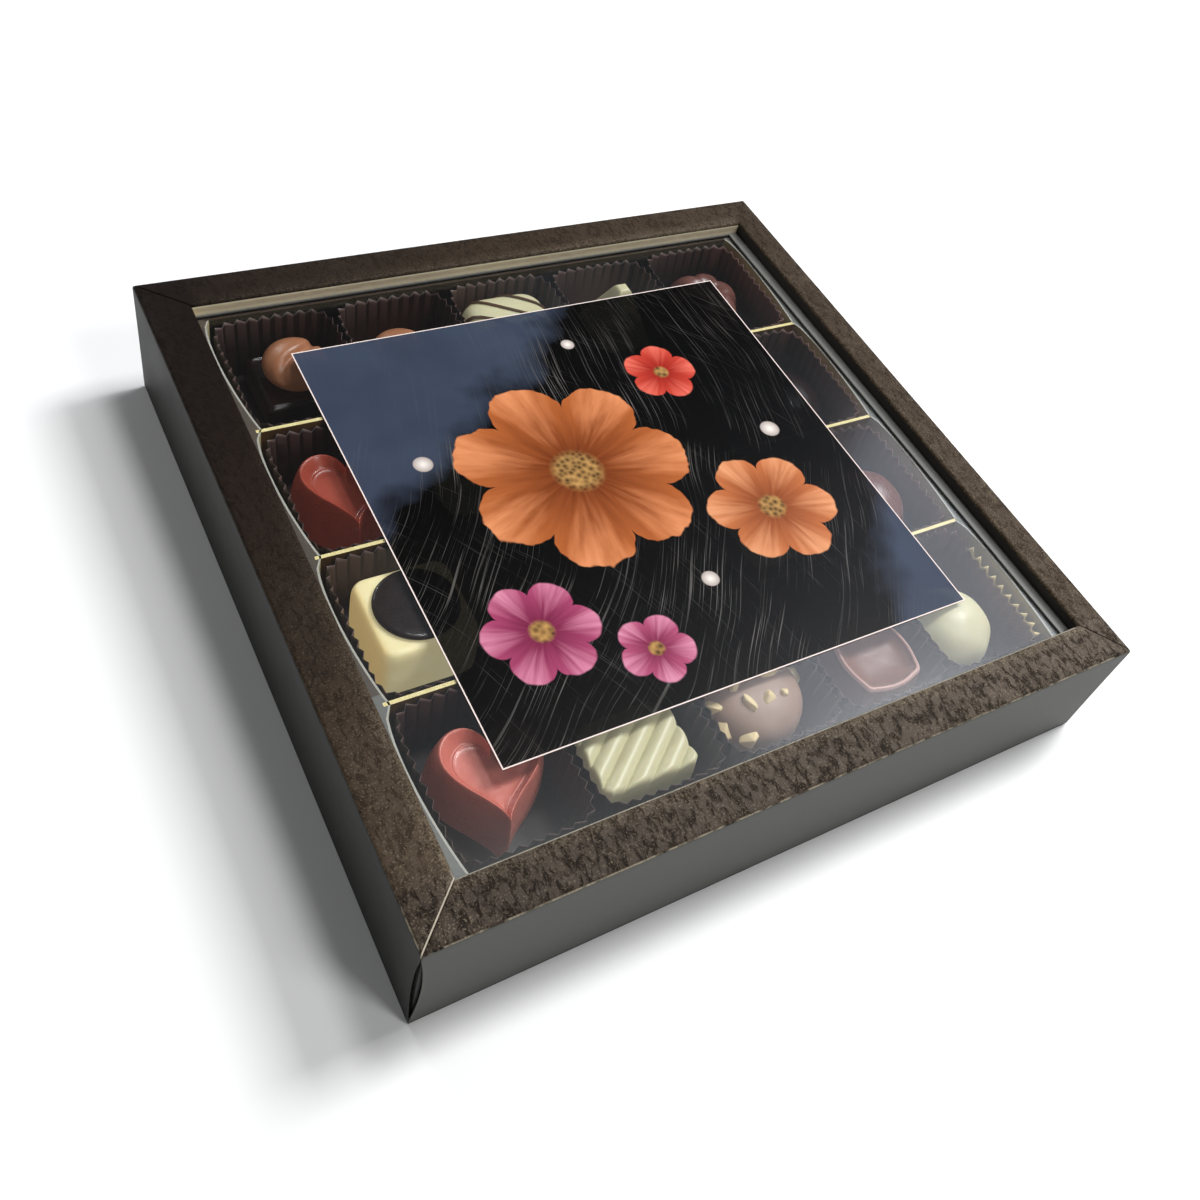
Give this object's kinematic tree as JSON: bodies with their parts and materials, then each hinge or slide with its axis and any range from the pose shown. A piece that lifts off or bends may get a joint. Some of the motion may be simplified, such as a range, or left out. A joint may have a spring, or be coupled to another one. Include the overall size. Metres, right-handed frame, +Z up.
{
  "type": "chocolate box",
  "caption": "Square card chocolate box: a lift-off frame lid with a clear window over rows of chocolates in fluted paper cups between card dividers.",
  "frame": {"origin": "centre of the box's underside on the table", "axes": "+Z up, +X to the right along the rows of chocolates, -Y to the front"},
  "size_m": [0.2, 0.2, 0.0375],
  "materials": {
    "lid_front": "matte",
    "lid_right": "matte",
    "lid_back": "matte",
    "lid_left": "matte",
    "lid_corner_tabs": "matte",
    "window_ring": "matte",
    "window_film": "gloss",
    "picture_panel": "gloss",
    "tray_floor": "matte",
    "tray_front": "matte",
    "tray_back": "matte",
    "tray_left": "matte",
    "tray_right": "matte",
    "tray_corner_tabs": "matte",
    "raised_floor": "matte",
    "liner_front": "matte",
    "liner_back": "matte",
    "liner_left": "matte",
    "liner_right": "matte",
    "divider_back": "satin",
    "divider_middle": "satin",
    "divider_front": "satin",
    "cups_row1": "satin",
    "cups_row2": "satin",
    "cups_row3": "satin",
    "cups_row4": "satin",
    "mocha_square_r1c1": "satin",
    "mocha_square_r1c2": "satin",
    "mocha_buttons": "satin",
    "striped_oval_r1c3": "satin",
    "pyramid_r1c4": "satin",
    "flower_r1c5": "satin",
    "heart_r2c1": "satin",
    "ribbed_block_r2c2": "satin",
    "rimmed_square_r2c3": "satin",
    "flower_r2c4": "satin",
    "dome_r2c5": "satin",
    "cream_square_r3c1": "satin",
    "cream_disc": "satin",
    "truffle_r3c2": "satin",
    "heart_r3c3": "satin",
    "striped_oval_r3c4": "satin",
    "truffle_r3c5": "satin",
    "heart_r4c1": "satin",
    "ribbed_block_r4c2": "satin",
    "nut_dome_r4c3": "satin",
    "chopped_nuts": "matte",
    "rimmed_square_r4c4": "satin",
    "truffle_r4c5": "satin",
    "oval_stripes": "satin"
  },
  "bodies": {
    "base": {"tray_floor": "tray_floor", "tray_front": "tray_front", "tray_back": "tray_back", "tray_left": "tray_left", "tray_right": "tray_right", "tray_corner_tabs": "tray_corner_tabs", "raised_floor": "raised_floor", "liner_front": "liner_front", "liner_back": "liner_back", "liner_left": "liner_left", "liner_right": "liner_right", "divider_back": "divider_back", "divider_middle": "divider_middle", "divider_front": "divider_front", "cups_row1": "cups_row1", "cups_row2": "cups_row2", "cups_row3": "cups_row3", "cups_row4": "cups_row4", "mocha_square_r1c1": "mocha_square_r1c1", "mocha_square_r1c2": "mocha_square_r1c2", "mocha_buttons": "mocha_buttons", "striped_oval_r1c3": "striped_oval_r1c3", "pyramid_r1c4": "pyramid_r1c4", "flower_r1c5": "flower_r1c5", "heart_r2c1": "heart_r2c1", "ribbed_block_r2c2": "ribbed_block_r2c2", "rimmed_square_r2c3": "rimmed_square_r2c3", "flower_r2c4": "flower_r2c4", "dome_r2c5": "dome_r2c5", "cream_square_r3c1": "cream_square_r3c1", "cream_disc": "cream_disc", "truffle_r3c2": "truffle_r3c2", "heart_r3c3": "heart_r3c3", "striped_oval_r3c4": "striped_oval_r3c4", "truffle_r3c5": "truffle_r3c5", "heart_r4c1": "heart_r4c1", "ribbed_block_r4c2": "ribbed_block_r4c2", "nut_dome_r4c3": "nut_dome_r4c3", "chopped_nuts": "chopped_nuts", "rimmed_square_r4c4": "rimmed_square_r4c4", "truffle_r4c5": "truffle_r4c5", "oval_stripes": "oval_stripes"},
    "lid": {"lid_front": "lid_front", "lid_right": "lid_right", "lid_back": "lid_back", "lid_left": "lid_left", "lid_corner_tabs": "lid_corner_tabs", "window_ring": "window_ring", "window_film": "window_film", "picture_panel": "picture_panel"}
  },
  "joints": [
    {"name": "lid_lift", "type": "slide", "parent": "base", "child": "lid", "axis": [0, 0, 1], "range_m": [0, 0.045]}
  ]
}
